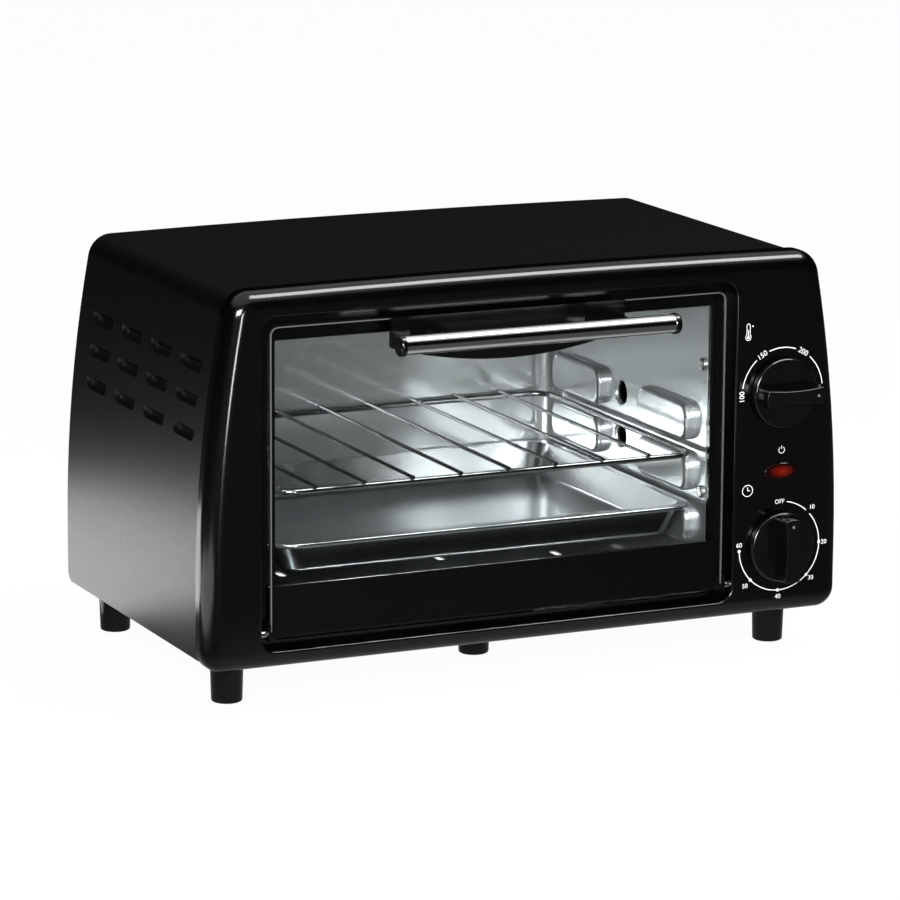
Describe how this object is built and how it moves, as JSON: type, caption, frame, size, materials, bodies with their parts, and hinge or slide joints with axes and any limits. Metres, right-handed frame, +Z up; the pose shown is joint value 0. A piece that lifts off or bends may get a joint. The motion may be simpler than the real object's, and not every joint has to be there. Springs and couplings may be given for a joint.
{
  "type": "toaster oven",
  "caption": "Boxy countertop toaster oven with a glass drop-down door, bar handle, wire rack, baking tray, round feet and turning heat and time knobs.",
  "frame": {"origin": "on the table under the middle of the oven's bounding box", "axes": "+X to the right as seen from the front, -Y towards the user, +Z up"},
  "size_m": [0.362, 0.2454, 0.2175],
  "materials": {
    "cover_black": "satin",
    "fascia_black": "gloss",
    "moulded_black": "gloss",
    "foot_black": "matte",
    "door_glass": "polished",
    "rail_black": "satin",
    "bright_sheet": "satin",
    "frame_steel": "satin",
    "polished_steel": "polished",
    "rack_wire": "polished",
    "tray_steel": "satin",
    "heater_sheath": "oxidised",
    "white_ceramic": "matte",
    "pointer_white": "matte",
    "lamp_red": "gloss",
    "inner_plastic": "matte",
    "screw_steel": "zinc plated",
    "bushing_rubber": "matte"
  },
  "bodies": {
    "cabinet": {"cabinet_cover": "cover_black", "back_panel": "cover_black", "base_plate": "bright_sheet", "front_fascia": "fascia_black", "front_frame": "frame_steel", "cavity_left_wall": "bright_sheet", "cavity_right_wall": "bright_sheet", "cavity_back_wall": "bright_sheet", "cavity_top": "bright_sheet", "upper_front_heater": "heater_sheath", "upper_rear_heater": "heater_sheath", "lower_front_heater": "heater_sheath", "lower_rear_heater": "heater_sheath", "heater_insulators_left": "white_ceramic", "heater_insulators_right": "white_ceramic", "thermostat_body": "inner_plastic", "timer_body": "inner_plastic", "timer_bell": "screw_steel", "lamp_lens": "lamp_red", "lamp_holder": "inner_plastic", "cord_bushing": "bushing_rubber", "terminal_block": "white_ceramic", "foot_front_left": "foot_black", "foot_front_right": "foot_black", "foot_rear_left": "foot_black", "foot_rear_right": "foot_black", "foot_middle": "foot_black", "foot_screws": "screw_steel", "back_screws": "screw_steel", "wall_rivets": "screw_steel", "control_screws": "screw_steel"},
    "door": {"door_glass": "door_glass", "door_rail": "rail_black", "hinge_pin_left": "screw_steel", "hinge_pin_right": "screw_steel", "handle_bracket": "moulded_black", "handle_tube": "polished_steel", "handle_cap_left": "moulded_black", "handle_cap_right": "moulded_black", "handle_screws": "screw_steel", "handle_washers": "screw_steel"},
    "thermostat_dial": {"thermostat_knob": "moulded_black", "thermostat_pointer": "pointer_white", "thermostat_shaft": "screw_steel"},
    "timer_dial": {"timer_knob": "moulded_black", "timer_pointer": "pointer_white", "timer_shaft": "screw_steel"},
    "rack": {"wire_rack": "rack_wire"},
    "tray": {"baking_tray": "tray_steel"}
  },
  "joints": [
    {"name": "door_hinge", "type": "hinge", "parent": "cabinet", "child": "door", "pos_m": [-0.017, -0.08125, 0.0405], "axis": [1, 0, 0], "range_deg": [0, 85], "stiffness_Nm_per_rad": 0.12, "springref_deg": -22.92},
    {"name": "thermostat_turn", "type": "hinge", "parent": "cabinet", "child": "thermostat_dial", "pos_m": [0.1443, -0.08605, 0.1421], "axis": [0, 1, 0], "range_deg": [-180, 0]},
    {"name": "timer_turn", "type": "hinge", "parent": "cabinet", "child": "timer_dial", "pos_m": [0.1443, -0.08605, 0.0595], "axis": [0, 1, 0], "range_deg": [0, 270]},
    {"name": "rack_slide", "type": "slide", "parent": "cabinet", "child": "rack", "axis": [0, -1, 0], "range_m": [0, 0.12]},
    {"name": "tray_slide", "type": "slide", "parent": "cabinet", "child": "tray", "axis": [0, -1, 0], "range_m": [0, 0.076]}
  ],
  "couplings": [
    {"joint": "rack_slide", "follows": "door_hinge", "m_per_rad": 0.0804},
    {"joint": "tray_slide", "follows": "door_hinge", "m_per_rad": 0.0507}
  ]
}
